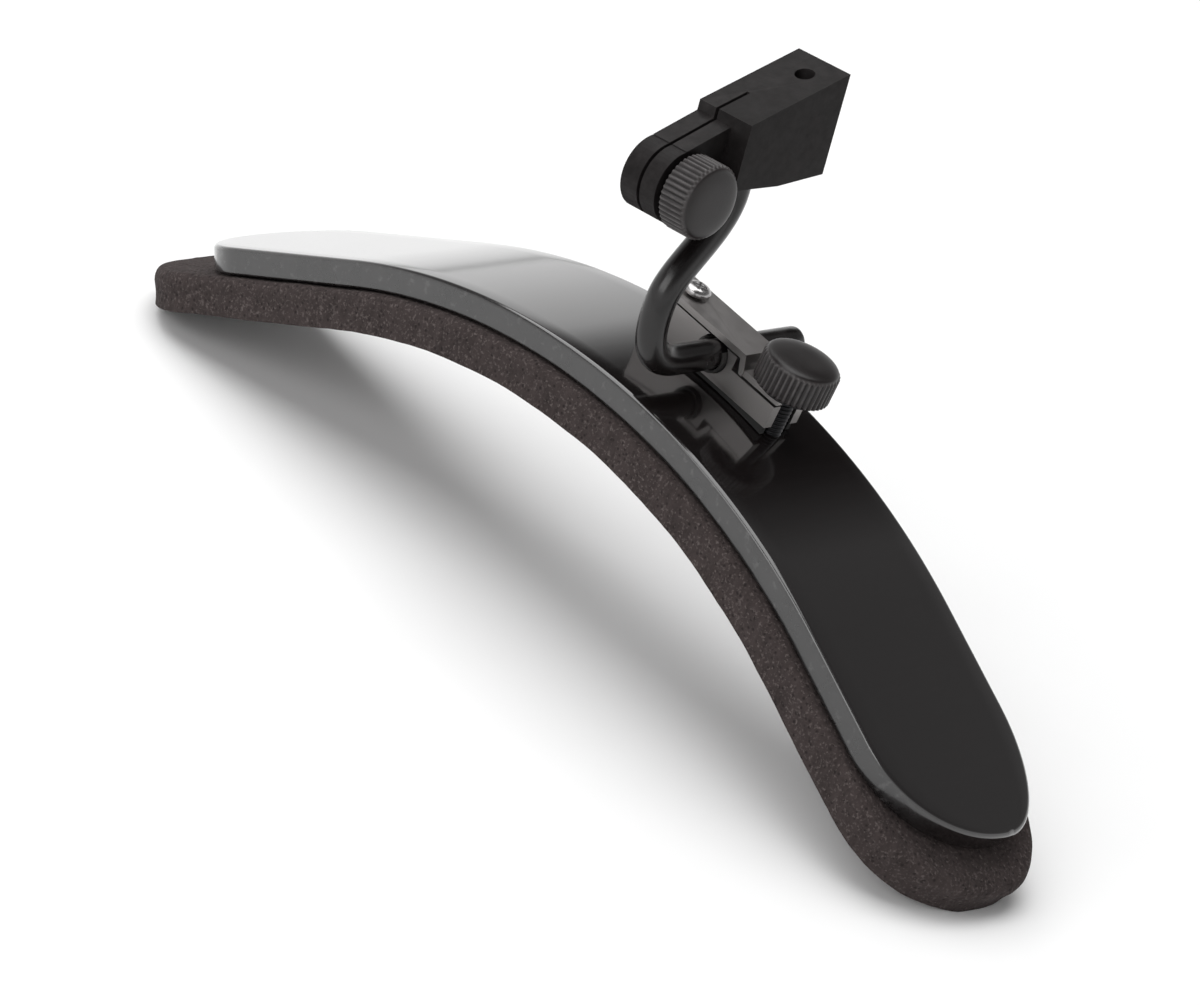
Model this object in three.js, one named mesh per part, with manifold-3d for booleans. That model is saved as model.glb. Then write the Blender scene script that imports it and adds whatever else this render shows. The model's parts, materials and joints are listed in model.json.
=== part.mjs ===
// Violin shoulder rest: an arched plate with a foam pad under it, a two-jaw clamp on the plate that
// grips the lower leg of a bent arm, and a mounting block that grips the arm's upper leg.
// Millimetres, +Z up, X along the plate, +Y towards the violin's scroll. It stands on the pad's ends.
import * as THREE from "three";
import { mergeVertices } from "three/addons/utils/BufferGeometryUtils.js";
import Module from "manifold-3d";

const wasm = await Module();
wasm.setup();

// Arched plate and foam pad. Lengths run along the arch, from its crown.
const ARCH_RADIUS = 121;
const ARCH_LEFT_ANGLE = THREE.MathUtils.degToRad(25.8);
const ARCH_RIGHT_ANGLE = THREE.MathUtils.degToRad(28.6);
const PLATE_LEFT = -95.6;
const PLATE_RIGHT = 98.5;
const PLATE_HALF_WIDTH = 17;
const PLATE_THICKNESS = 4.6;
const PAD_LEFT = -110.6;
const PAD_RIGHT = 105.9;
const PAD_HALF_WIDTH = 19;
const PAD_THICKNESS = 7;
const PLATE_LEFT_ROUNDING = 13;
const PAD_LEFT_ROUNDING = 17;
const RIGHT_ROUNDING = 20;
const RIGHT_TIP_Y = 4.5;
const TIP_HALF_WIDTH = 1.6;
const GLUE_GAP = 0.2;
const PAD_FLAT = 0.8;

// Clamp on the plate. Its own frame sits on the plate's top surface, Z along the local normal.
const CLAMP_X = 10.4;
const CLAMP_Y = 4.6;
const BAR_LEFT = -16;
const BAR_RIGHT = 13.2;
const BAR_WIDTH = 8;
const BAR_BOTTOM = 1.1;
const BAR_HIGH_TOP = 7.5;
const BAR_LOW_TOP = 5.1;
const STEP_X = 3;
const STRAP_THICKNESS = 1.1;
const STRAP_GAP = 0.3;
const STRAP_TONGUE_WIDTH = 7.4;
const SHIM_TOP = 0.9;
const FIT_GAP = 0.2;
const LEG_X = -1.5;
const LEG_Z = 5.1;

// Thumbscrews and small fasteners.
const KNOB_HEIGHT = 6;
const KNOB_DOME = 0.9;
const KNOB_FLUTES = 42;
const FLUTE_DEPTH = 0.3;
const LOWER_KNOB_RADIUS = 6.5;
const UPPER_KNOB_RADIUS = 6.2;
const LOWER_SHANK_RADIUS = 1.9;
const UPPER_SHANK_RADIUS = 1.9;
const THUMB_X = 11.8;
const STRAP_SCREW_X = -12.3;
const BAR_SCREW_X = 6;
const INSERT_BOTTOM = -3.7;
const INSERT_TOP = -1.1;

// Bent arm. Its frame lies on the lower leg's axis: Y along the leg, Z up the arm.
const ARM_RADIUS = 2.5;
const ARM_ROLL = THREE.MathUtils.degToRad(-11.4);
const LEG_END_Y = 21;
const LEG_BEND_Y = -9;
const UPPER_LEG_Y = -5.5;
const UPPER_LEG_START = 29;
const UPPER_LEG_END = 39.5;
const SLEEVE_INNER = 2.65;
const SLEEVE_OUTER = 3.05;
const BORE_RADIUS = 3.2;
const SLEEVE_OVERHANG = 0.9;
const LOWER_SLEEVE_HALF_GAP = 0.9;
const UPPER_SLEEVE_HALF_GAP = 0.14;

// Mounting block, in the arm's frame.
const VIOLIN_PITCH = THREE.MathUtils.degToRad(18.9);
const BLOCK_LEFT = -6;
const BLOCK_RIGHT = 5;
const BLOCK_FRONT = -12;
const BLOCK_BACK = 9;
const BLOCK_BOTTOM = 31;
const BLOCK_BACK_BOTTOM = 32.2;
const BLOCK_TOP = 44;
const BORE_TOP = 41.6;
const EAR_Y = -20;
const EAR_Z = 30.6;
const EAR_RADIUS = 6;
const EAR_RIGHT = 1.2;
const SLIT_LEFT = -2.5;
const SLIT_RIGHT = -1.9;
const MOUNT_HOLE_RADIUS = 1.6;
const MOUNT_HOLE_Y = 4.2;

const SEGMENTS = 28;

function finish(colour, roughness, metalness) {
  return new THREE.MeshStandardMaterial({ color: colour, roughness, metalness });
}

const FINISHES = {
  foam: finish(0x3a3432, 0.95, 0),
  gloss: finish(0x101012, 0.2, 0),
  satin: finish(0x8c8782, 0.45, 0.8),
  paint: finish(0x121213, 0.4, 0.1),
  knob: finish(0x1a1a1b, 0.5, 0),
  steel: finish(0xc8c8c8, 0.3, 1),
  black_steel: finish(0x202022, 0.4, 0.8),
  brass: finish(0xb08d4a, 0.35, 1),
  nylon: finish(0x262524, 0.6, 0),
  rubber: finish(0x141414, 0.9, 0),
};

function toSolid(geometry) {
  const bare = geometry.clone();
  bare.deleteAttribute("normal");
  bare.deleteAttribute("uv");
  const merged = mergeVertices(bare, 1e-4);
  return new wasm.Manifold(
    new wasm.Mesh({
      numProp: 3,
      vertProperties: new Float32Array(merged.attributes.position.array),
      triVerts: new Uint32Array(merged.index.array),
    }),
  );
}

function toGeometry(solid) {
  const mesh = solid.getMesh();
  const geometry = new THREE.BufferGeometry();
  geometry.setAttribute("position", new THREE.BufferAttribute(mesh.vertProperties, 3));
  geometry.setIndex(new THREE.BufferAttribute(mesh.triVerts, 1));
  geometry.computeVertexNormals();
  return geometry;
}

function cut(geometry, ...cutters) {
  let solid = toSolid(geometry);
  for (const cutter of cutters) {
    solid = solid.subtract(toSolid(cutter));
  }
  return toGeometry(solid);
}

function join(geometry, ...others) {
  let solid = toSolid(geometry);
  for (const other of others) {
    solid = solid.add(toSolid(other));
  }
  return toGeometry(solid);
}

function overlap(a, b) {
  return toGeometry(toSolid(a).intersect(toSolid(b)));
}

function part(name, geometry, material) {
  const mesh = new THREE.Mesh(geometry, material);
  mesh.name = name;
  return mesh;
}

function box(x0, x1, y0, y1, z0, z1) {
  const geometry = new THREE.BoxGeometry(x1 - x0, y1 - y0, z1 - z0);
  return geometry.translate((x0 + x1) / 2, (y0 + y1) / 2, (z0 + z1) / 2);
}

// A round bar along Z.
function rod(radius, z0, z1) {
  const geometry = new THREE.CylinderGeometry(radius, radius, z1 - z0, SEGMENTS);
  return geometry.rotateX(Math.PI / 2).translate(0, 0, (z0 + z1) / 2);
}

function ring(outer, inner, z0, z1) {
  const corners = [
    [inner, z0],
    [outer, z0],
    [outer, z1],
    [inner, z1],
    [inner, z0],
  ];
  const profile = corners.map(([r, z]) => new THREE.Vector2(r, z));
  return new THREE.LatheGeometry(profile, SEGMENTS).rotateX(Math.PI / 2);
}

// An outline in the X-Z plane, extruded along Y.
function sideways(shape, y0, y1) {
  const options = { depth: y1 - y0, bevelEnabled: false, curveSegments: 16 };
  return new THREE.ExtrudeGeometry(shape, options).rotateX(Math.PI / 2).translate(0, y1, 0);
}

// An outline in the Y-Z plane, extruded along X.
function acrossX(shape, x0, x1) {
  const options = { depth: x1 - x0, bevelEnabled: false, curveSegments: 16 };
  const geometry = new THREE.ExtrudeGeometry(shape, options);
  return geometry.rotateX(Math.PI / 2).rotateZ(Math.PI / 2).translate(x0, 0, 0);
}

function polygon(points) {
  return new THREE.Shape(points.map(([u, v]) => new THREE.Vector2(u, v)));
}

// A point of the arch at distance s from the crown, moved off the top surface along the normal.
function archPoint(s, offset) {
  const left = -ARCH_RADIUS * ARCH_LEFT_ANGLE;
  const right = ARCH_RADIUS * ARCH_RIGHT_ANGLE;
  const onArc = THREE.MathUtils.clamp(s, left, right);
  const angle = onArc / ARCH_RADIUS;
  const beyond = s - onArc;
  const x = ARCH_RADIUS * Math.sin(angle) + beyond * Math.cos(angle);
  const z = ARCH_RADIUS * (Math.cos(angle) - 1) - beyond * Math.sin(angle);
  return [x + offset * Math.sin(angle), z + offset * Math.cos(angle)];
}

// The two edges of a slab at distance s along the arch. Its right end is round about RIGHT_TIP_Y.
function slabEdges(s, left, right, halfWidth, leftRounding) {
  const inLeft = THREE.MathUtils.clamp((left + leftRounding - s) / leftRounding, 0, 1);
  const inRight = THREE.MathUtils.clamp((s - right + RIGHT_ROUNDING) / RIGHT_ROUNDING, 0, 1);
  const share = Math.sqrt(1 - Math.max(inLeft, inRight) ** 2);
  const tipY = inRight > 0 ? RIGHT_TIP_Y : 0;
  const near = tipY - Math.max((halfWidth + tipY) * share, TIP_HALF_WIDTH);
  const far = tipY + Math.max((halfWidth - tipY) * share, TIP_HALF_WIDTH);
  return [near, far];
}

// A slab with rounded ends, bent along the arch. It runs from left to right along the arch.
function archSlab(left, right, halfWidth, leftRounding, top, bottom) {
  const slab = new THREE.BoxGeometry(1, 1, 1, 44, 1, 1);
  const corner = slab.getAttribute("position");
  for (let i = 0; i < corner.count; i += 1) {
    const along = 0.5 + 0.5 * Math.sin(Math.PI * corner.getX(i));
    const s = THREE.MathUtils.lerp(left, right, along);
    const [near, far] = slabEdges(s, left, right, halfWidth, leftRounding);
    const [x, z] = archPoint(s, corner.getZ(i) > 0 ? top : bottom);
    corner.setXYZ(i, x, corner.getY(i) > 0 ? far : near, z);
  }
  return slab;
}

const clampFrame = new THREE.Group();
clampFrame.position.set(CLAMP_X, CLAMP_Y, archPoint(CLAMP_X, 0)[1]);
clampFrame.rotation.y = Math.asin(CLAMP_X / ARCH_RADIUS);
clampFrame.updateMatrix();

// A geometry placed along X in the clamp's frame, given in that frame's millimetres.
function atX(geometry, x) {
  return geometry.translate(x, 0, 0);
}

const PLATE_INSERTS = [
  { name: "strap_insert", x: STRAP_SCREW_X, outer: 2.6, inner: 1.6 },
  { name: "bar_insert", x: BAR_SCREW_X, outer: 2.3, inner: 1.6 },
  { name: "thumb_insert", x: THUMB_X, outer: 2.9, inner: 2.1 },
];

function shoulderPlate() {
  const slab = archSlab(
    PLATE_LEFT,
    PLATE_RIGHT,
    PLATE_HALF_WIDTH,
    PLATE_LEFT_ROUNDING,
    0,
    -PLATE_THICKNESS,
  );
  const holes = PLATE_INSERTS.map(({ x, outer }) =>
    atX(rod(outer + FIT_GAP, INSERT_BOTTOM - FIT_GAP, 3), x).applyMatrix4(clampFrame.matrix),
  );
  return part("shoulder_plate", cut(slab, ...holes), FINISHES.gloss);
}

const PAD_TOP = -PLATE_THICKNESS - GLUE_GAP;
const PAD_BOTTOM = PAD_TOP - PAD_THICKNESS;
const GROUND_Z = archPoint(PAD_RIGHT, PAD_BOTTOM)[1] + PAD_FLAT;

function foamPad() {
  const slab = archSlab(
    PAD_LEFT,
    PAD_RIGHT,
    PAD_HALF_WIDTH,
    PAD_LEFT_ROUNDING,
    PAD_TOP,
    PAD_BOTTOM,
  );
  const aboveFloor = box(-130, 130, -40, 40, GROUND_Z, 40);
  return part("foam_pad", overlap(slab, aboveFloor), FINISHES.foam);
}

// Thin shim between the straight bar and the curved plate.
function seatShim() {
  const left = BAR_LEFT + 0.5;
  const right = BAR_RIGHT - 0.5;
  const halfY = BAR_WIDTH / 2 - 0.4;
  const blank = box(left, right, -halfY, halfY, -4, SHIM_TOP);
  const plateTop = archSlab(-60, 60, 40, 10, FIT_GAP, -20);
  plateTop.applyMatrix4(clampFrame.matrix.clone().invert());
  const holes = PLATE_INSERTS.map(({ x, outer }) => atX(rod(outer, -6, 3), x));
  return part("seat_shim", cut(blank, plateTop, ...holes), FINISHES.rubber);
}

function forkSlot(z0, z1) {
  const halfWidth = LOWER_SHANK_RADIUS + 0.4;
  const open = box(THUMB_X, BAR_RIGHT + 5, -halfWidth, halfWidth, z0, z1);
  return [open, atX(rod(halfWidth, z0, z1), THUMB_X)];
}

function legBore() {
  return rod(BORE_RADIUS, -20, 20).rotateX(Math.PI / 2).translate(LEG_X, 0, LEG_Z);
}

function lowerBar() {
  const outline = polygon([
    [BAR_LEFT, BAR_BOTTOM],
    [BAR_RIGHT, BAR_BOTTOM],
    [BAR_RIGHT, BAR_LOW_TOP],
    [STEP_X, BAR_LOW_TOP],
    [STEP_X, BAR_HIGH_TOP],
    [BAR_LEFT, BAR_HIGH_TOP],
  ]);
  const blank = sideways(outline, -BAR_WIDTH / 2, BAR_WIDTH / 2);
  const strapScrewHole = atX(rod(1.7, 0, 10), STRAP_SCREW_X);
  const barScrewHole = atX(rod(1.7, 0, 10), BAR_SCREW_X);
  const headSeat = atX(rod(2.3, BAR_LOW_TOP - 1.8, 10), BAR_SCREW_X);
  return part(
    "lower_bar",
    cut(blank, legBore(), strapScrewHole, barScrewHole, headSeat, ...forkSlot(0, 10)),
    FINISHES.satin,
  );
}

const STRAP_HIGH = BAR_HIGH_TOP + STRAP_GAP;
const STRAP_LOW = BAR_LOW_TOP + STRAP_GAP;
const TONGUE_TOP = STRAP_LOW + STRAP_THICKNESS;

// Upper jaw: a folded strip that presses on the arm, then steps down to a forked tongue under the thumbscrew.
function clampStrap() {
  const strapTop = STRAP_HIGH + STRAP_THICKNESS;
  const outline = polygon([
    [BAR_LEFT, STRAP_HIGH],
    [STEP_X + 0.5, STRAP_HIGH],
    [STEP_X + 1.4, STRAP_LOW],
    [BAR_RIGHT, STRAP_LOW],
    [BAR_RIGHT, TONGUE_TOP],
    [STEP_X + 2.2, TONGUE_TOP],
    [STEP_X + 1.3, strapTop],
    [BAR_LEFT, strapTop],
  ]);
  const blank = sideways(outline, -BAR_WIDTH / 2, BAR_WIDTH / 2);
  const screwHole = atX(rod(1.7, 0, 12), STRAP_SCREW_X);
  const tongue = STRAP_TONGUE_WIDTH / 2;
  const shoulders = [-1, 1].map((side) =>
    box(STEP_X + 2.2, 30, ...[side * tongue, side * 10].sort((a, b) => a - b), 0, 12),
  );
  return part("clamp_strap", cut(blank, screwHole, ...shoulders, ...forkSlot(0, 12)), FINISHES.satin);
}

// A pan-head screw with a cross recess, pointing down from the underside of its head.
function crossScrew(name, headRadius, headHeight, length, x, z) {
  const shank = rod(1.4, -length, 0.1);
  const head = rod(headRadius, 0, headHeight);
  const arm = headRadius * 0.62;
  const recess = [
    box(-arm, arm, -0.3, 0.3, headHeight - 0.6, headHeight + 1),
    box(-0.3, 0.3, -arm, arm, headHeight - 0.6, headHeight + 1),
  ];
  const screw = part(name, cut(join(shank, head), ...recess), FINISHES.steel);
  screw.position.set(x, 0, z);
  return screw;
}

function flutedOutline(radius) {
  const points = [];
  for (let i = 0; i < KNOB_FLUTES * 4; i += 1) {
    const angle = (2 * Math.PI * i) / (KNOB_FLUTES * 4);
    const r = i % 4 < 2 ? radius : radius - FLUTE_DEPTH;
    points.push([r * Math.cos(angle), r * Math.sin(angle)]);
  }
  return polygon(points);
}

// A knurled head with a smooth domed top and a blind socket for the shank, its underside at z = 0.
function knobHead(name, radius, shankRadius) {
  const band = KNOB_HEIGHT - KNOB_DOME;
  const options = { depth: band, bevelEnabled: false };
  const knurl = new THREE.ExtrudeGeometry(flutedOutline(radius), options);
  const cap = [
    [0, band - 0.2],
    [radius - FLUTE_DEPTH, band - 0.2],
    [radius - FLUTE_DEPTH, band + 0.2],
    [radius * 0.8, KNOB_HEIGHT - 0.2],
    [0, KNOB_HEIGHT],
  ].map(([r, z]) => new THREE.Vector2(r, z));
  const dome = new THREE.LatheGeometry(cap, SEGMENTS).rotateX(Math.PI / 2);
  const socket = rod(shankRadius + FIT_GAP, -1, band - 1);
  return part(name, cut(join(knurl, dome), socket), FINISHES.knob);
}

// Washer, knob and threaded shank, with the clamped face at z = 0 and the axis along Z.
function thumbscrew(prefix, knobRadius, shankRadius, reach) {
  const group = new THREE.Group();
  const washer = ring(knobRadius - 1.6, shankRadius + FIT_GAP, 0.15, 0.65);
  const knob = knobHead(`${prefix}_knob`, knobRadius, shankRadius);
  knob.position.z = 0.85;
  const shank = rod(shankRadius, -reach, 0.85 + KNOB_HEIGHT - KNOB_DOME - 1.3);
  group.add(part(`${prefix}_washer`, washer, FINISHES.steel));
  group.add(knob);
  group.add(part(`${prefix}_shank`, shank, FINISHES.black_steel));
  return group;
}

// A split sleeve along Z, open on one side so that the clamp can close it on the arm.
function splitSleeve(name, z0, z1, openTowards, halfGap) {
  const start = openTowards + halfGap;
  const end = openTowards - halfGap + 2 * Math.PI;
  const shape = new THREE.Shape();
  shape.absarc(0, 0, SLEEVE_OUTER, start, end, false);
  shape.absarc(0, 0, SLEEVE_INNER, end, start, true);
  const options = { depth: z1 - z0, bevelEnabled: false, curveSegments: 14 };
  const geometry = new THREE.ExtrudeGeometry(shape, options).translate(0, 0, z0);
  return part(name, geometry, FINISHES.nylon);
}

function lowerClamp() {
  clampFrame.add(seatShim(), lowerBar(), clampStrap());
  for (const { name, x, outer, inner } of PLATE_INSERTS) {
    const insert = part(name, ring(outer, inner, INSERT_BOTTOM, INSERT_TOP), FINISHES.brass);
    insert.position.x = x;
    clampFrame.add(insert);
  }
  const strapTop = STRAP_HIGH + STRAP_THICKNESS;
  clampFrame.add(crossScrew("strap_screw", 2.3, 1.4, 12.5, STRAP_SCREW_X, strapTop + 0.3));
  clampFrame.add(crossScrew("bar_screw", 2, 1.4, 6.8, BAR_SCREW_X, BAR_LOW_TOP - 1.6));
  const thumb = thumbscrew("lower", LOWER_KNOB_RADIUS, LOWER_SHANK_RADIUS, TONGUE_TOP + 3.4);
  thumb.position.set(THUMB_X, 0, TONGUE_TOP);
  clampFrame.add(thumb);
  const half = BAR_WIDTH / 2 + SLEEVE_OVERHANG;
  const sleeve = splitSleeve("lower_sleeve", -half, half, Math.PI / 2, LOWER_SLEEVE_HALF_GAP);
  sleeve.position.set(LEG_X, 0, LEG_Z);
  sleeve.rotation.x = -Math.PI / 2;
  sleeve.rotation.z = Math.PI;
  clampFrame.add(sleeve);
  return clampFrame;
}

function armPath() {
  const at = (y, z) => new THREE.Vector3(0, y, z);
  const waist = at(-16, 11);
  const path = new THREE.CurvePath();
  path.add(new THREE.LineCurve3(at(LEG_END_Y, 0), at(LEG_BEND_Y, 0)));
  path.add(new THREE.CubicBezierCurve3(at(LEG_BEND_Y, 0), at(-15.5, 0), at(-17.2, 5), waist));
  path.add(
    new THREE.CubicBezierCurve3(
      waist,
      at(-14.8, 16.9),
      at(UPPER_LEG_Y, 21.5),
      at(UPPER_LEG_Y, UPPER_LEG_START),
    ),
  );
  path.add(
    new THREE.LineCurve3(at(UPPER_LEG_Y, UPPER_LEG_START), at(UPPER_LEG_Y, UPPER_LEG_END)),
  );
  return path;
}

function armRod() {
  const circle = new THREE.Shape().absarc(0, 0, ARM_RADIUS, 0, 2 * Math.PI);
  const options = { steps: 48, extrudePath: armPath(), curveSegments: SEGMENTS / 2 };
  return part("arm_rod", new THREE.ExtrudeGeometry(circle, options), FINISHES.paint);
}

function blockBody() {
  const slope = Math.tan(VIOLIN_PITCH);
  const top = (y) => BLOCK_TOP + (y - UPPER_LEG_Y) * slope;
  const profile = polygon([
    [BLOCK_FRONT, BLOCK_BOTTOM],
    [UPPER_LEG_Y + 4, BLOCK_BOTTOM],
    [BLOCK_BACK, BLOCK_BACK_BOTTOM],
    [BLOCK_BACK, top(BLOCK_BACK)],
    [BLOCK_FRONT, top(BLOCK_FRONT)],
  ]);
  return acrossX(profile, BLOCK_LEFT, BLOCK_RIGHT);
}

// The clamp ears: a round lug at the thumbscrew, tapering back into the block.
function earLug() {
  const top = BLOCK_TOP + (BLOCK_FRONT - UPPER_LEG_Y) * Math.tan(VIOLIN_PITCH);
  const shape = new THREE.Shape();
  shape.moveTo(BLOCK_FRONT + 2, BLOCK_BOTTOM);
  shape.lineTo(BLOCK_FRONT + 2, top - 1);
  shape.lineTo(EAR_Y - 1, EAR_Z + EAR_RADIUS);
  shape.absarc(EAR_Y, EAR_Z, EAR_RADIUS, Math.PI / 2, 1.5 * Math.PI + 0.6);
  return acrossX(shape, BLOCK_LEFT, EAR_RIGHT);
}

// A round bar along X through the ears.
function earBar(radius, x0, x1) {
  return rod(radius, x0, x1).rotateY(Math.PI / 2).translate(0, EAR_Y, EAR_Z);
}

function mountBlock() {
  const bore = rod(BORE_RADIUS, 0, BORE_TOP).translate(0, UPPER_LEG_Y, 0);
  const slit = box(SLIT_LEFT, SLIT_RIGHT, EAR_Y - 20, UPPER_LEG_Y, 0, 60);
  const screwHole = earBar(UPPER_SHANK_RADIUS + 0.4, -20, 20);
  const insertSeat = earBar(3.5, -20, SLIT_LEFT - 0.6);
  const mountHole = rod(MOUNT_HOLE_RADIUS, 0, 60).translate(0, MOUNT_HOLE_Y, 0);
  const body = join(blockBody(), earLug());
  return part("mount_block", cut(body, bore, slit, screwHole, insertSeat, mountHole), FINISHES.paint);
}

function upperClamp(arm) {
  arm.add(mountBlock());
  const insert = part("ear_insert", ring(3.3, UPPER_SHANK_RADIUS + FIT_GAP, -5.9, -3.3), FINISHES.brass);
  insert.rotation.y = Math.PI / 2;
  insert.position.set(0, EAR_Y, EAR_Z);
  const thumb = thumbscrew("upper", UPPER_KNOB_RADIUS, UPPER_SHANK_RADIUS, 6.6);
  thumb.rotation.y = Math.PI / 2;
  thumb.position.set(EAR_RIGHT, EAR_Y, EAR_Z);
  const bottom = BLOCK_BOTTOM - SLEEVE_OVERHANG;
  const sleeve = splitSleeve("upper_sleeve", bottom, BORE_TOP - 0.4, 1.5 * Math.PI, UPPER_SLEEVE_HALF_GAP);
  sleeve.position.y = UPPER_LEG_Y;
  arm.add(insert, thumb, sleeve);
}

function armAssembly() {
  const arm = new THREE.Group();
  arm.position.set(LEG_X, -CLAMP_Y, LEG_Z);
  arm.rotation.y = ARM_ROLL;
  arm.add(armRod());
  upperClamp(arm);
  return arm;
}

function shoulderRest() {
  const rest = new THREE.Group();
  rest.add(shoulderPlate(), foamPad(), lowerClamp());
  clampFrame.add(armAssembly());
  const middle = new THREE.Box3().setFromObject(rest).getCenter(new THREE.Vector3());
  rest.position.set(-middle.x, -middle.y, -GROUND_Z);
  return rest;
}

export default shoulderRest();
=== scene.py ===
# Violin shoulder rest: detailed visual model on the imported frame. Metres, +Z up, X along the plate.
import json
import math

import bmesh
import bpy
from mathutils import Matrix, Vector, noise


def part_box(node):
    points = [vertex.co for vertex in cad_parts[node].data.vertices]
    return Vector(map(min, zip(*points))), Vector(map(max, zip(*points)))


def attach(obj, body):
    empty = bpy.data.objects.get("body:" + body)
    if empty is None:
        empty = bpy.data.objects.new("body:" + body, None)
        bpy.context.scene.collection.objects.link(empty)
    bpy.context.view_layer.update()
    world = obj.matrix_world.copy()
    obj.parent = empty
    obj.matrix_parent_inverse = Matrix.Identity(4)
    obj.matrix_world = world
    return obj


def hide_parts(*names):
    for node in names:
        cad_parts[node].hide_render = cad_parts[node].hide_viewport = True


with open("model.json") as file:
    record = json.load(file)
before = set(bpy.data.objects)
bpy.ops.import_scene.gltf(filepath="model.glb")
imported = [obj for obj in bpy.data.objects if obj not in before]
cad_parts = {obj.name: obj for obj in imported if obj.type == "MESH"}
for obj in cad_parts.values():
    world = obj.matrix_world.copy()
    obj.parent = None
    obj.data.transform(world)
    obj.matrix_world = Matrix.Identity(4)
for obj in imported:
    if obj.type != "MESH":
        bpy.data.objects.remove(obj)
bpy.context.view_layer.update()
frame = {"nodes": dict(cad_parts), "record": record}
MM = 0.001
SAME_POINT = 1e-9

# Arch of plate and pad. Lengths run along the arch, from its crown, in millimetres.
ARCH_RADIUS = 121.0
ARCH_LEFT_ANGLE = math.radians(25.8)
ARCH_RIGHT_ANGLE = math.radians(28.6)
PLATE_LEFT, PLATE_RIGHT, PLATE_HALF_WIDTH, PLATE_LEFT_ROUNDING = -95.6, 98.5, 17.0, 13.0
PAD_LEFT, PAD_RIGHT, PAD_HALF_WIDTH, PAD_LEFT_ROUNDING = -110.6, 105.9, 19.0, 17.0
PLATE_THICKNESS = 4.6
PAD_TOP, PAD_BOTTOM = -4.8, -11.8
RIGHT_ROUNDING, RIGHT_TIP_Y = 20.0, 4.5
TIP_HALF_WIDTH = 0.02

# Roundings of the rims, each as (inset, drop), and how far the pad's cut side is hollowed.
PLATE_UPPER_RIM, PLATE_LOWER_RIM = (0.8, 0.8), (0.5, 0.5)
PAD_UPPER_RIM, PAD_LOWER_RIM = (1.3, 2.4), (0.45, 0.45)
PAD_HOLLOW = 0.15

# Unevenness of the foam: waves as (turns per millimetre, height), below a mean inset.
FOAM_INSET, FOAM_WAVES = 0.17, ((0.11, 0.16), (0.45, 0.07))
SLAB_STATIONS, SLAB_CROSS_STEPS = 150, 10

# Thumbscrews and strap screw, in millimetres. A head starts KNOB_SEAT above its joint's origin.
KNOB_HEIGHT, KNOB_DOME = 6.0, 0.9
KNOB_FLUTES, FLUTE_DEPTH = 42, 0.34
KNOB_RADIUS = {"lower": 6.5, "upper": 6.2}
SHANK_RADIUS = 1.9
THREAD_PITCH, THREAD_DEPTH = 0.7, 0.3
KNOB_SEAT = 0.85
STRAP_SCREW_HEAD_RADIUS, STRAP_SCREW_HEAD_HEIGHT, STRAP_SCREW_SHANK_RADIUS = 2.3, 1.4, 1.4
RECESS_TURN, RECESS_WIDTH, RECESS_DEPTH = 0.6, 0.42, 1.6
STEPS_PER_TURN, ROD_SIDES, SCREW_SIDES = 10, 32, 48

# Bent arm, in its own frame on the lower leg's axis. ARM_CHAMFER is (distance from the end, scale).
ARM_RADIUS, ARM_SIDES = 2.5, 40
ARM_CHAMFER = [(0.0, 0.72), (0.16, 0.88), (0.45, 0.97), (0.8, 1.0)]
LEG_END_Y, LEG_BEND_Y = 21.0, -9.0
UPPER_LEG_Y, UPPER_LEG_START, UPPER_LEG_END = -5.5, 29.0, 39.5

joints = {j["name"]: j for j in frame["record"]["behaviour"]["joints"]}
plate_low, plate_high = (Vector(c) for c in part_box("shoulder_plate"))


def arch_point(s, offset):
    """(x, z) on the arch at distance s from the crown, offset along the normal, in millimetres."""
    on_arc = min(max(s, -ARCH_RADIUS * ARCH_LEFT_ANGLE), ARCH_RADIUS * ARCH_RIGHT_ANGLE)
    angle = on_arc / ARCH_RADIUS
    beyond = s - on_arc
    x = ARCH_RADIUS * math.sin(angle) + beyond * math.cos(angle)
    z = ARCH_RADIUS * (math.cos(angle) - 1) - beyond * math.sin(angle)
    return x + offset * math.sin(angle), z + offset * math.cos(angle)


CROWN = Vector((
    plate_low.x - arch_point(PLATE_LEFT, 0)[0] * MM,
    (plate_low.y + plate_high.y) / 2,
    plate_high.z,
))


def axes(z_axis, origin):
    """A frame with that Z, Y kept along the row's Y as far as possible."""
    z = Vector(z_axis).normalized()
    x = Vector((0, 1, 0)).cross(z).normalized()
    y = z.cross(x)
    turn = Matrix((x, y, z)).transposed().to_4x4()
    return Matrix.Translation(Vector(origin)) @ turn


def screw_frame(prefix):
    joint = joints[f"{prefix}_knob_turn"]
    return axes(joint["axis"], joint["pos_m"])


def arm_frame():
    up = joints["height_slide"]["axis"]
    leg = joints["arm_tilt"]["pos_m"]
    return axes(up, (leg[0], CROWN.y, leg[2]))


# ---------------------------------------------------------------- meshes


def finish_mesh(name, bm, smooth=True):
    bmesh.ops.remove_doubles(bm, verts=bm.verts, dist=1e-7)
    bmesh.ops.recalc_face_normals(bm, faces=bm.faces)
    mesh = bpy.data.meshes.new(name)
    bm.to_mesh(mesh)
    bm.free()
    for polygon in mesh.polygons:
        polygon.use_smooth = smooth
    obj = bpy.data.objects.new(name, mesh)
    bpy.context.scene.collection.objects.link(obj)
    return obj


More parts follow.
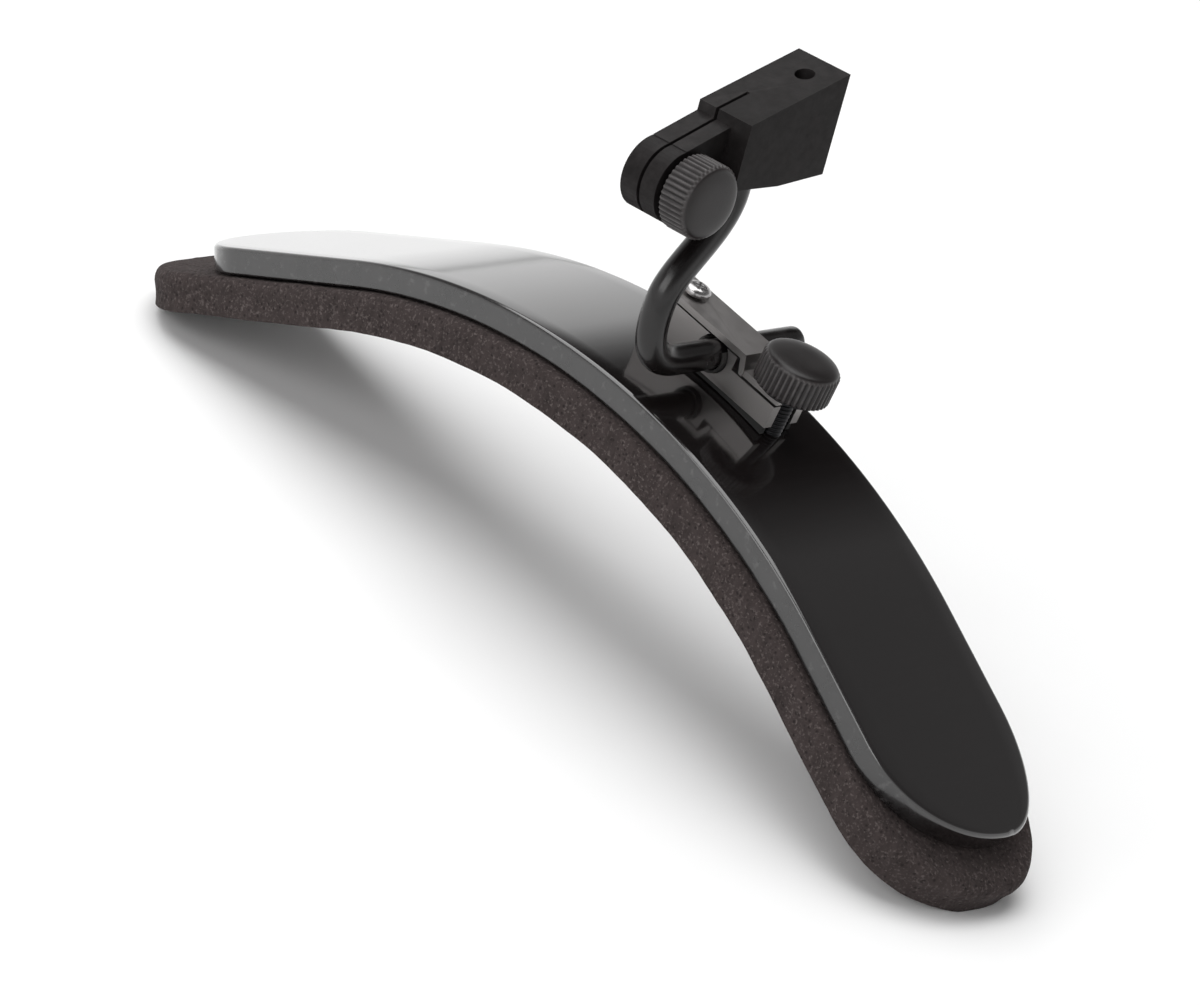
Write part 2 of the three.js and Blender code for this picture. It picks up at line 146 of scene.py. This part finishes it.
def grid_mesh(name, rows):
    """A tube of closed rings of points. The first and the last are capped unless they are one point."""
    bm = bmesh.new()
    verts = [[bm.verts.new(p) for p in row] for row in rows]
    count = len(rows[0])
    for a, b in zip(verts, verts[1:]):
        for i in range(count):
            k = (i + 1) % count
            ring = [a[i], a[k], b[k], b[i]]
            if len(set(ring)) == 4:
                bm.faces.new(ring)
    for row, ring in ((rows[0], verts[0]), (rows[-1], verts[-1][::-1])):
        if (row[0] - row[1]).length > SAME_POINT:
            bm.faces.new(ring)
    return finish_mesh(name, bm)


def bevel(obj, width):
    modifier = obj.modifiers.new("edge", "BEVEL")
    modifier.width = width * MM
    modifier.segments = 3
    modifier.limit_method = "ANGLE"
    modifier.angle_limit = math.radians(32)


def slab_edges(s, left, right, half_width, left_rounding):
    in_left = min(max((left + left_rounding - s) / left_rounding, 0), 1)
    in_right = min(max((s - right + RIGHT_ROUNDING) / RIGHT_ROUNDING, 0), 1)
    share = math.sqrt(max(0.0, 1 - max(in_left, in_right) ** 2))
    tip_y = RIGHT_TIP_Y if in_right > 0 else 0
    near = tip_y - max((half_width + tip_y) * share, TIP_HALF_WIDTH)
    far = tip_y + max((half_width - tip_y) * share, TIP_HALF_WIDTH)
    return near, far


def rounding(radius, drop, steps):
    """(inset, depth) pairs round an edge that is set in by radius and goes down by drop."""
    turns = [math.pi / 2 * i / steps for i in range(steps + 1)]
    return [(radius * (1 - math.sin(t)), drop * (1 - math.cos(t))) for t in turns]


def slab_profile(thickness, upper, lower, hollow):
    """(inset, depth) pairs down one side of a slab. Each rounding is (inset, drop)."""
    top = rounding(*upper, 6)
    bottom = [(inset, thickness - depth) for inset, depth in reversed(rounding(*lower, 4))]
    start, end = top[-1][1], bottom[0][1]
    middle = []
    for share in (0.25, 0.5, 0.75):
        middle.append((hollow * math.sin(math.pi * share), start + (end - start) * share))
    return top + middle + bottom


def arch_slab(name, outline, top, side):
    """A bent slab with rounded ends and rounded rims. Its rings run round the slab at each station."""
    left, right, half_width, left_rounding = outline
    first, last = side[0], side[-1]
    steps = [k / SLAB_CROSS_STEPS for k in range(1, SLAB_CROSS_STEPS)]
    rows = []
    for i in range(SLAB_STATIONS + 1):
        along = 0.5 - 0.5 * math.cos(math.pi * i / SLAB_STATIONS)

        def point(inset, depth, share):
            s_left, s_right = left + inset, right - inset
            s = s_left + (s_right - s_left) * along
            near, far = slab_edges(s, s_left, s_right, half_width - inset, left_rounding - inset)
            x, z = arch_point(s, top - depth)
            y = near + (far - near) * share
            return CROWN + Vector((x, y, z)) * MM

        ring = [point(inset, depth, 0) for inset, depth in reversed(side)]
        ring += [point(*first, step) for step in steps]
        ring += [point(inset, depth, 1) for inset, depth in side]
        ring += [point(*last, 1 - step) for step in steps]
        rows.append(ring)
    return grid_mesh(name, rows)


def ring_points(radius_at, z, count, matrix):
    points = []
    for i in range(count):
        angle = 2 * math.pi * i / count
        r = radius_at(angle)
        points.append(matrix @ (Vector((r * math.cos(angle), r * math.sin(angle), z)) * MM))
    return points


def knob(prefix):
    """Knurled head: straight flutes between a chamfered foot and a smooth crowned top."""
    radius = KNOB_RADIUS[prefix]
    matrix = screw_frame(prefix) @ Matrix.Translation((0, 0, KNOB_SEAT * MM))
    band = KNOB_HEIGHT - KNOB_DOME
    body = radius - FLUTE_DEPTH

    def fluted(share, shrink=0.0):
        def radius_at(angle):
            wave = 0.5 + 0.5 * math.cos(KNOB_FLUTES * angle)
            return body - shrink + share * FLUTE_DEPTH * wave ** 0.7
        return radius_at

    def plain(r):
        return lambda angle: r

    socket = SHANK_RADIUS + 0.12
    levels = [
        (plain(socket), 1.2), (plain(socket), 0.05), (plain(socket + 0.25), 0.0),
        (plain(body - 0.7), 0.0), (fluted(0.3, 0.25), 0.06), (fluted(0.8), 0.3), (fluted(1.0), 0.5),
        (fluted(1.0), 2.0), (fluted(1.0), 3.5), (fluted(1.0), band - 0.35), (fluted(0.9), band - 0.15),
        (fluted(0.5), band - 0.02), (fluted(0.15, 0.02), band + 0.08), (plain(body - 0.08), band + 0.2),
    ]
    for i in range(1, 10):
        share = i / 9
        r = (body - 0.08) * max(0.0, math.cos(math.pi / 2 * share)) ** 0.55 if i < 9 else 0.0
        levels.append((plain(r), band + 0.2 + (KNOB_DOME - 0.2) * math.sin(math.pi / 2 * share)))
    rows = [ring_points(radius_at, z, KNOB_FLUTES * 8, matrix) for radius_at, z in levels]
    head = grid_mesh(f"{prefix}_thumb_head", rows)
    mark_wear_and_glints(head, matrix.inverted(), body, band)
    return head


def mark_wear_and_glints(head, to_local, body, band):
    """Attribute of a knob, from 0 to 1, where its paint is made lighter: high on the upper rim and along
    the flutes' crests, partly rubbed paint and partly a painted highlight for the glints there.
    """
    wear_and_glint = head.data.attributes.new("wear_and_glint", "FLOAT", "POINT")
    for vertex, entry in zip(head.data.vertices, wear_and_glint.data):
        place = (to_local @ vertex.co) / MM
        radius = math.hypot(place.x, place.y)
        rim = math.exp(-((place.z - band) / 0.22) ** 2) if radius > body - 0.7 else 0.0
        crest = min(max((radius - body) / FLUTE_DEPTH, 0.0), 1.0) ** 3
        entry.value = max(0.55 * rim, 0.8 * crest)


def thread_radius(z, angle):
    phase = (z / THREAD_PITCH - angle / (2 * math.pi)) % 1.0
    ridge = 1 - abs(2 * phase - 1)
    return SHANK_RADIUS - THREAD_DEPTH + THREAD_DEPTH * min(1.0, 1.25 * ridge)


def threaded_shank(prefix, low, high):
    """Threaded rod with a true helix, chamfered at its lower end."""
    matrix = screw_frame(prefix)
    steps = int((high - low) / THREAD_PITCH * STEPS_PER_TURN)
    rows = []
    for i in range(steps + 1):
        z = low + (high - low) * i / steps
        taper = min(1.0, 0.72 + 0.28 * (z - low) / 0.9)

        def radius_at(angle, z=z, taper=taper):
            return thread_radius(z, angle) * taper

        rows.append(ring_points(radius_at, z, ROD_SIDES, matrix))
    return grid_mesh(f"{prefix}_threaded_rod", rows)


def bezier(p, q, r, s, t):
    u = 1 - t
    return p * u ** 3 + q * 3 * u * u * t + r * 3 * u * t * t + s * t ** 3


def arm_path():
    """Centre line of the arm in its own plane, as points from the lower leg's end to the upper leg's."""
    def at(y, z):
        return Vector((0, y, z))

    waist = at(-16, 11)
    points = [at(LEG_END_Y + (LEG_BEND_Y - LEG_END_Y) * i / 12, 0) for i in range(12)]
    low = (at(LEG_BEND_Y, 0), at(-15.5, 0), at(-17.2, 5), waist)
    high = (waist, at(-14.8, 16.9), at(UPPER_LEG_Y, 21.5), at(UPPER_LEG_Y, UPPER_LEG_START))
    points += [bezier(*low, i / 28) for i in range(28)]
    points += [bezier(*high, i / 36) for i in range(36)]
    rise = UPPER_LEG_END - UPPER_LEG_START
    points += [at(UPPER_LEG_Y, UPPER_LEG_START + rise * i / 4) for i in range(5)]
    return points


def arm_rod():
    """Round bar along the arm's path, its two ends broken by a small chamfer."""
    path = arm_path()
    matrix = arm_frame()
    side = Vector((1, 0, 0))
    last = len(path) - 1

    def ring(centre, tangent, scale):
        up = side.cross(tangent).normalized()
        points = []
        for k in range(ARM_SIDES):
            angle = 2 * math.pi * k / ARM_SIDES
            offset = side * math.cos(angle) + up * math.sin(angle)
            points.append(matrix @ ((centre + offset * ARM_RADIUS * scale) * MM))
        return points

    start, end = (path[1] - path[0]).normalized(), (path[-1] - path[-2]).normalized()
    rows = [ring(path[0] + start * d, start, scale) for d, scale in ARM_CHAMFER]
    for i in range(1, last):
        rows.append(ring(path[i], (path[i + 1] - path[i - 1]).normalized(), 1.0))
    rows += [ring(path[-1] - end * d, end, scale) for d, scale in reversed(ARM_CHAMFER)]
    return grid_mesh("bent_arm", rows)


def pan_screw(name, node, head_radius, head_height, shank_radius):
    """Pan-head screw with a domed top and a cross recess, on the CAD screw's axis."""
    low, high = (Vector(c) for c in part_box(node))
    up = Vector(joints["lower_knob_turn"]["axis"]).normalized()
    reach = (high.z - low.z - 2 * head_radius * MM * abs(up.x)) / up.z / MM
    middle = (low + high) / 2
    top = middle + up * (reach / 2 * MM)
    matrix = axes(up, top)
    levels = [(0.02, -reach), (shank_radius * 0.6, -reach), (shank_radius, -reach + 0.9)]
    levels += [(shank_radius, -head_height - 0.01), (head_radius - 0.15, -head_height)]
    levels += [(head_radius, -head_height + 0.15), (head_radius, -0.62 * head_height)]
    for i in range(1, 8):
        turn = math.pi / 2 * i / 7
        r = 0.35 * head_radius + 0.65 * head_radius * math.cos(turn)
        levels.append((r, -0.62 * head_height * (1 - math.sin(turn))))
    levels.append((0.02, 0.0))
    rows = [ring_points(lambda angle, r=r: r, z, SCREW_SIDES, matrix) for r, z in levels]
    screw = grid_mesh(name, rows)
    cutter_mesh = bmesh.new()
    for turn in (RECESS_TURN, RECESS_TURN + math.pi / 2):
        spot = matrix @ Matrix.Rotation(turn, 4, "Z")
        size = Matrix.Diagonal((head_radius * 1.15 * MM, RECESS_WIDTH * MM, RECESS_DEPTH * MM, 1))
        bmesh.ops.create_cube(cutter_mesh, size=1, matrix=spot @ size)
    cutter = finish_mesh(name + "_recess", cutter_mesh, smooth=False)
    cut = screw.modifiers.new("recess", "BOOLEAN")
    cut.object = cutter
    cut.operation = "DIFFERENCE"
    cut.use_self = True
    apply_modifiers(screw)
    bpy.data.objects.remove(cutter)
    return screw


def apply_modifiers(obj):
    graph = bpy.context.evaluated_depsgraph_get()
    mesh = bpy.data.meshes.new_from_object(obj.evaluated_get(graph))
    obj.modifiers.clear()
    old = obj.data
    obj.data = mesh
    bpy.data.meshes.remove(old)


def roughen_pad(obj):
    """Foam is never quite even: shallow waves in its cut sides and soft dents in its faces."""
    mesh = obj.data
    normals = [v.normal.copy() for v in mesh.vertices]
    for vertex, normal in zip(mesh.vertices, normals):
        where = vertex.co / MM
        wave = sum(noise.noise(where * scale) * height for scale, height in FOAM_WAVES)
        vertex.co -= normal * (FOAM_INSET + wave) * MM


def press_flat(obj, ground):
    """The pad flattens where it stands on the ground."""
    for vertex in obj.data.vertices:
        vertex.co.z = max(vertex.co.z, ground)


# ---------------------------------------------------------------- materials


def set_stops(ramp, stops):
    """Colour stops as (position, colour), where a colour is a grey value or three numbers."""
    elements = ramp.color_ramp.elements
    while len(elements) < len(stops):
        elements.new(0.5)
    for element, (position, colour) in zip(elements, stops):
        element.position = position
        grey = isinstance(colour, (int, float))
        element.color = (colour, colour, colour, 1) if grey else (*colour, 1)


class Surface:
    """A node material with short helpers for its texture nodes."""

    def __init__(self, name):
        self.material = bpy.data.materials.new(name)
        self.material.use_nodes = True
        self.tree = self.material.node_tree
        self.shader = self.tree.nodes["Principled BSDF"]
        coordinates = self.node("ShaderNodeTexCoord")
        self.place = coordinates.outputs["Object"]
        self.facing = coordinates.outputs["Normal"]

    def node(self, kind, **settings):
        node = self.tree.nodes.new(kind)
        for key, value in settings.items():
            setattr(node, key, value)
        return node

    def link(self, a, b):
        self.tree.links.new(a, b)

    def set(self, **values):
        for key, value in values.items():
            self.shader.inputs[key.replace("_", " ")].default_value = value

    def stretched(self, scale):
        mapping = self.node("ShaderNodeMapping")
        mapping.inputs["Scale"].default_value = scale
        self.link(self.place, mapping.inputs["Vector"])
        return mapping.outputs["Vector"]

    def noise(self, scale, detail=3.0, roughness=0.55, vector=None):
        node = self.node("ShaderNodeTexNoise")
        node.inputs["Scale"].default_value = scale
        node.inputs["Detail"].default_value = detail
        node.inputs["Roughness"].default_value = roughness
        self.link(vector or self.place, node.inputs["Vector"])
        return node.outputs["Fac"]

    def cells(self, scale):
        node = self.node("ShaderNodeTexVoronoi")
        node.inputs["Scale"].default_value = scale
        self.link(self.place, node.inputs["Vector"])
        return node.outputs["Distance"]

    def ramp(self, source, *stops):
        node = self.node("ShaderNodeValToRGB")
        set_stops(node, stops)
        self.link(source, node.inputs["Fac"])
        return node.outputs["Color"]

    def mix(self, share, a, b):
        node = self.node("ShaderNodeMix", data_type="RGBA")
        for socket, value in ((node.inputs[0], share), (node.inputs[6], a), (node.inputs[7], b)):
            if isinstance(value, tuple):
                socket.default_value = (*value, 1)
            elif isinstance(value, (int, float)):
                socket.default_value = value
            else:
                self.link(value, socket)
        return node.outputs[2]

    def maths(self, operation, a, b=0.0):
        node = self.node("ShaderNodeMath", operation=operation)
        for socket, value in zip(node.inputs, (a, b)):
            if isinstance(value, (int, float)):
                socket.default_value = value
            else:
                self.link(value, socket)
        return node.outputs[0]

    def bump(self, *layers):
        """Bump layers as (height, strength, distance in millimetres), one on top of the other."""
        normal = None
        for height, strength, distance in layers:
            node = self.node("ShaderNodeBump")
            node.inputs["Strength"].default_value = strength
            node.inputs["Distance"].default_value = distance * MM
            self.link(height, node.inputs["Height"])
            if normal:
                self.link(normal, node.inputs["Normal"])
            normal = node.outputs["Normal"]
        self.link(normal, self.shader.inputs["Normal"])

    def edges(self, low, high):
        pointiness = self.node("ShaderNodeNewGeometry").outputs["Pointiness"]
        return self.ramp(pointiness, (low, 0.0), (high, 1.0))

    def attribute(self, name):
        return self.node("ShaderNodeAttribute", attribute_name=name).outputs["Fac"]

    def side_share(self):
        """1 on faces that look along Y, 0 on faces that look up or along X."""
        split = self.node("ShaderNodeSeparateXYZ")
        self.link(self.facing, split.inputs["Vector"])
        return self.ramp(self.maths("ABSOLUTE", split.outputs["Y"]), (0.55, 0.0), (0.9, 1.0))

    def colour(self, source):
        self.link(source, self.shader.inputs["Base Color"])

    def roughness(self, source):
        self.link(source, self.shader.inputs["Roughness"])


def foam_surface():
    m = Surface("foam")
    fine = m.noise(1900, 3, 0.65)
    coarse = m.noise(260, 4, 0.65)
    pores = m.cells(950)
    streaks = m.noise(1, 3, 0.6, m.stretched((900, 900, 110)))
    base = m.ramp(coarse, (0.3, (0.025, 0.0193, 0.0187)), (0.72, (0.042, 0.0325, 0.0315)))
    streaked = m.mix(m.ramp(streaks, (0.35, 0.0), (0.75, 0.75)), base, (0.050, 0.039, 0.038))
    pored = m.mix(m.ramp(pores, (0.12, 0.75), (0.34, 0.0)), streaked, (0.012, 0.009, 0.0088))
    specks = m.ramp(fine, (0.54, 0.0), (0.70, 1.0))
    m.colour(m.mix(specks, pored, (0.095, 0.079, 0.076)))
    m.set(Roughness=0.96, Specular_IOR_Level=0.18)
    m.bump((coarse, 0.35, 0.5), (pores, 0.7, 0.35), (fine, 0.6, 0.2))
    return m.material


def plate_surface():
    m = Surface("plate")
    side = m.side_share()
    mottle = m.noise(230, 4, 0.6)
    streak = m.noise(620, 3, 0.6)
    scuffs = m.noise(1, 6, 0.7, m.stretched((900, 60, 900)))
    # The cut sides are painted a paler, mottled and streaked tone than the flat black top. This is partly
    # the plastic's own mottle and partly a painted reflection of the bright floor on the sides.
    pale_tone_and_sheen = m.ramp(mottle, (0.35, (0.006, 0.0055, 0.0055)), (0.68, (0.015, 0.014, 0.014)))
    pale_tone_and_sheen = m.mix(m.ramp(streak, (0.58, 0.0), (0.70, 0.7)), pale_tone_and_sheen, (0.050, 0.048, 0.048))
    m.colour(m.mix(side, (0.0075, 0.006, 0.006), pale_tone_and_sheen))
    gloss = m.ramp(scuffs, (0.35, 0.085), (0.75, 0.16))
    m.roughness(m.mix(side, gloss, m.ramp(mottle, (0.3, 0.22), (0.7, 0.42))))
    m.set(IOR=1.5, Coat_Weight=1.0, Coat_Roughness=0.1)
    m.bump((m.maths("MULTIPLY", mottle, side), 0.25, 0.12), (m.noise(55, 2), 0.04, 0.25))
    return m.material


def brushed_surface(name, colour, bright, rough):
    m = Surface(name)
    brushed = m.noise(1, 4, 0.7, m.stretched((240, 5200, 5200)))
    patches = m.noise(420, 3)
    base = m.mix(m.ramp(patches, (0.3, 0.0), (0.75, 1.0)), colour, tuple(0.82 * c for c in colour))
    base = m.mix(m.ramp(brushed, (0.4, 0.0), (0.75, 0.45)), base, bright)
    m.colour(m.mix(m.edges(0.53, 0.60), base, bright))
    m.roughness(m.ramp(brushed, (0.3, rough - 0.07), (0.75, rough + 0.10)))
    m.set(Metallic=1.0)
    m.bump((brushed, 0.22, 0.03), (patches, 0.08, 0.05))
    return m.material


def plated_surface(name, colour, rough):
    m = Surface(name)
    haze = m.noise(900, 4, 0.6)
    m.colour(m.mix(m.ramp(haze, (0.35, 0.0), (0.8, 0.6)), colour, tuple(0.6 * c for c in colour)))
    m.roughness(m.ramp(haze, (0.3, rough - 0.05), (0.8, rough + 0.12)))
    m.set(Metallic=1.0)
    m.bump((haze, 0.08, 0.03))
    return m.material


def painted_surface(name, colour, pale_tone_and_sheen, rough, grain, shine, wear_and_glint=None):
    """Paint over metal: fine orange peel, uneven gloss, lighter where it rubs and, on the knobs, a painted
    highlight along rims and crests. The last argument names the attribute that marks these places.
    """
    m = Surface(name)
    peel = m.noise(grain, 3, 0.6)
    patches = m.noise(170, 4, 0.6)
    base = m.mix(m.ramp(patches, (0.3, 0.0), (0.8, 1.0)), colour, tuple(1.45 * c for c in colour))
    # rim marks the lighter places: rubbed edges, and on the knobs also a painted highlight for the glints
    # on rims and crests.
    rim = m.attribute(wear_and_glint) if wear_and_glint else m.edges(0.53, 0.62)
    rub_and_glint = m.mix(m.noise(700, 3), (0.0, 0.0, 0.0), rim)
    m.colour(m.mix(rub_and_glint, base, pale_tone_and_sheen))
    m.roughness(m.ramp(patches, (0.3, rough - 0.05), (0.8, rough + 0.08)))
    m.set(Specular_IOR_Level=shine)
    m.bump((peel, 0.16, 0.06))
    return m.material


def dull_surface(name, colour, rough):
    m = Surface(name)
    grain = m.noise(1300, 3)
    m.colour(m.mix(m.ramp(grain, (0.3, 0.0), (0.8, 1.0)), colour, tuple(1.3 * c for c in colour)))
    m.roughness(m.ramp(grain, (0.3, rough - 0.06), (0.8, rough + 0.05)))
    m.bump((grain, 0.25, 0.05))
    return m.material


SURFACES = {
    "foam": foam_surface(),
    "plate": plate_surface(),
    "clamp_metal": brushed_surface("clamp_metal", (0.125, 0.112, 0.110), (0.32, 0.305, 0.30), 0.38),
    "steel": plated_surface("steel", (0.46, 0.45, 0.45), 0.24),
    "black_steel": plated_surface("black_steel", (0.035, 0.035, 0.037), 0.34),
    "brass": plated_surface("brass", (0.62, 0.45, 0.19), 0.28),
    "nylon": dull_surface("nylon", (0.020, 0.019, 0.018), 0.5),
    "rubber": dull_surface("rubber", (0.010, 0.010, 0.010), 0.8),
    # The knobs' paler rims and crests are partly rubbed paint and partly a painted highlight.
    "knob": painted_surface(
        "knob", (0.009, 0.007, 0.007), (0.13, 0.12, 0.12), rough=0.33, grain=2200, shine=0.34, wear_and_glint="wear_and_glint"
    ),
    "arm_paint": painted_surface(
        "arm_paint", (0.004, 0.003, 0.003), (0.06, 0.06, 0.06), rough=0.22, grain=1500, shine=0.5
    ),
    "block_paint": painted_surface(
        "block_paint", (0.003, 0.0023, 0.0023), (0.03, 0.027, 0.027), rough=0.46, grain=1900, shine=0.1
    ),
}


def dress(obj, slot_name):
    obj.data.materials.clear()
    obj.data.materials.append(SURFACES[slot_name])


def add_piece(obj, body, slot_name, *nodes):
    dress(obj, slot_name)
    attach(obj, body)
    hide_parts(*nodes)


# ---------------------------------------------------------------- the object


def make_plate_and_pad():
    plate_outline = (PLATE_LEFT, PLATE_RIGHT, PLATE_HALF_WIDTH, PLATE_LEFT_ROUNDING)
    plate_side = slab_profile(PLATE_THICKNESS, PLATE_UPPER_RIM, PLATE_LOWER_RIM, 0.0)
    plate = arch_slab("plate_shell", plate_outline, 0, plate_side)
    add_piece(plate, "plate", "plate", "shoulder_plate")
    pad_outline = (PAD_LEFT, PAD_RIGHT, PAD_HALF_WIDTH, PAD_LEFT_ROUNDING)
    pad_side = slab_profile(PAD_TOP - PAD_BOTTOM, PAD_UPPER_RIM, PAD_LOWER_RIM, PAD_HOLLOW)
    pad = arch_slab("shoulder_pad", pad_outline, PAD_TOP, pad_side)
    roughen_pad(pad)
    press_flat(pad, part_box("foam_pad")[0][2])
    add_piece(pad, "plate", "foam", "foam_pad")


def shank_reach(prefix):
    """Lowest and highest point of the CAD shank along its screw's axis, in millimetres."""
    inverse = screw_frame(prefix).inverted()
    mesh = frame["nodes"][f"{prefix}_shank"].data
    heights = [(inverse @ v.co).z / MM for v in mesh.vertices]
    return min(heights), max(heights)


def make_thumbscrews():
    for prefix in ("lower", "upper"):
        body = f"{prefix}_thumbscrew"
        add_piece(knob(prefix), body, "knob", f"{prefix}_knob")
        shank = threaded_shank(prefix, *shank_reach(prefix))
        add_piece(shank, body, "black_steel", f"{prefix}_shank")


def make_arm_and_screws():
    add_piece(arm_rod(), "arm", "arm_paint", "arm_rod")
    size = (STRAP_SCREW_HEAD_RADIUS, STRAP_SCREW_HEAD_HEIGHT, STRAP_SCREW_SHANK_RADIUS)
    add_piece(pan_screw("strap_pan_screw", "strap_screw", *size), "plate", "steel", "strap_screw")


# Bevel widths, in millimetres, of the nodes that keep their CAD shape.
BEVELS = {
    "lower_bar": 0.22, "clamp_strap": 0.2, "mount_block": 0.55, "seat_shim": 0.1,
    "lower_washer": 0.12, "upper_washer": 0.12, "lower_sleeve": 0.08, "upper_sleeve": 0.08,
    "bar_screw": 0.12, "strap_insert": 0.1, "bar_insert": 0.1, "thumb_insert": 0.1, "ear_insert": 0.1,
}


def finish_cad_nodes():
    """The nodes whose CAD shape is right keep it, with broken edges and their own material."""
    slots = {s["node"]: s["material_slot"] for s in frame["record"]["subparts"]}
    for name, width in BEVELS.items():
        node = frame["nodes"][name]
        dress(node, "black_steel" if name.endswith("washer") else slots[name])
        for polygon in node.data.polygons:
            polygon.use_smooth = True
        bevel(node, width)
        node.modifiers.new("shading", "WEIGHTED_NORMAL").keep_sharp = True


# ---------------------------------------------------------------- studio


CAMERA_AT = Vector((394.66, -550.08, 343.06)) * MM
CAMERA_RIGHT = Vector((0.73527, 0.56427, 0.37548))
AIM = Vector((1.95, 3.24, 16.5)) * MM
LENS_MM, SENSOR_MM = 138.9, 36
FLAG_DIRECTION, FLAG_EDGE = (-0.38, 0.72, 0.58), (0.94, 0.985)
SKY_STOPS = ((0.0, 1.0), (0.12, 1.0), (0.30, 0.92), (0.46, 0.28), (0.62, 0.18))
FLOOR_HALF_SIZE = 4
LIT_POINT = (0, 0, 0.04)


def make_camera():
    forward = (AIM - CAMERA_AT).normalized()
    right = (CAMERA_RIGHT - forward * CAMERA_RIGHT.dot(forward)).normalized()
    up = right.cross(forward)
    data = bpy.data.cameras.new("view")
    data.lens = LENS_MM
    data.sensor_width = SENSOR_MM
    data.clip_start, data.clip_end = 0.05, 20
    camera = bpy.data.objects.new("view", data)
    turn = Matrix((right, up, -forward)).transposed().to_4x4()
    camera.matrix_world = Matrix.Translation(CAMERA_AT) @ turn
    bpy.context.scene.collection.objects.link(camera)
    bpy.context.scene.camera = camera


def make_floor():
    bm = bmesh.new()
    bmesh.ops.create_grid(bm, x_segments=1, y_segments=1, size=FLOOR_HALF_SIZE)
    floor = finish_mesh("floor", bm)
    m = Surface("floor")
    m.colour(m.ramp(m.noise(30, 2), (0.2, 0.86), (0.8, 0.88)))
    m.set(Roughness=0.9, Specular_IOR_Level=0.1)
    floor.data.materials.append(m.material)


def soft_light(name, at, size, watts):
    data = bpy.data.lights.new(name, "AREA")
    data.shape = "RECTANGLE"
    data.size, data.size_y = size
    data.energy = watts
    lamp = bpy.data.objects.new(name, data)
    direction = Vector(LIT_POINT) - Vector(at)
    lamp.rotation_euler = direction.to_track_quat("-Z", "Y").to_euler()
    lamp.location = at
    bpy.context.scene.collection.objects.link(lamp)


def make_world():
    """White low down and dim overhead, with a dark flag where the middle of the plate mirrors it."""
    world = bpy.data.worlds.new("studio")
    world.use_nodes = True
    nodes, links = world.node_tree.nodes, world.node_tree.links
    place = nodes.new("ShaderNodeTexCoord")
    split = nodes.new("ShaderNodeSeparateXYZ")
    ramp = nodes.new("ShaderNodeValToRGB")
    links.new(place.outputs["Generated"], split.inputs["Vector"])
    links.new(split.outputs["Z"], ramp.inputs["Fac"])
    set_stops(ramp, SKY_STOPS)
    flag = nodes.new("ShaderNodeVectorMath")
    flag.operation = "DOT_PRODUCT"
    flag.inputs[1].default_value = FLAG_DIRECTION
    links.new(place.outputs["Generated"], flag.inputs[0])
    shade = nodes.new("ShaderNodeMapRange")
    shade.inputs["From Min"].default_value, shade.inputs["From Max"].default_value = FLAG_EDGE
    shade.inputs["To Min"].default_value, shade.inputs["To Max"].default_value = 1.0, 0.05
    links.new(flag.outputs["Value"], shade.inputs["Value"])
    light = nodes.new("ShaderNodeVectorMath")
    light.operation = "SCALE"
    links.new(ramp.outputs["Color"], light.inputs[0])
    links.new(shade.outputs["Result"], light.inputs["Scale"])
    links.new(light.outputs["Vector"], nodes["Background"].inputs["Color"])
    nodes["Background"].inputs["Strength"].default_value = 1.0
    bpy.context.scene.world = world


def make_studio():
    make_camera()
    make_floor()
    make_world()
    soft_light("key", at=(-0.5, -0.1, 1.6), size=(2.2, 1.8), watts=35)
    soft_light("front", at=(0.1, -1.4, 0.9), size=(1.4, 0.6), watts=8)
    bpy.context.scene.view_settings.view_transform = "Standard"


def main():
    make_plate_and_pad()
    make_thumbscrews()
    make_arm_and_screws()
    finish_cad_nodes()
    make_studio()
    bpy.context.view_layer.update()


main()
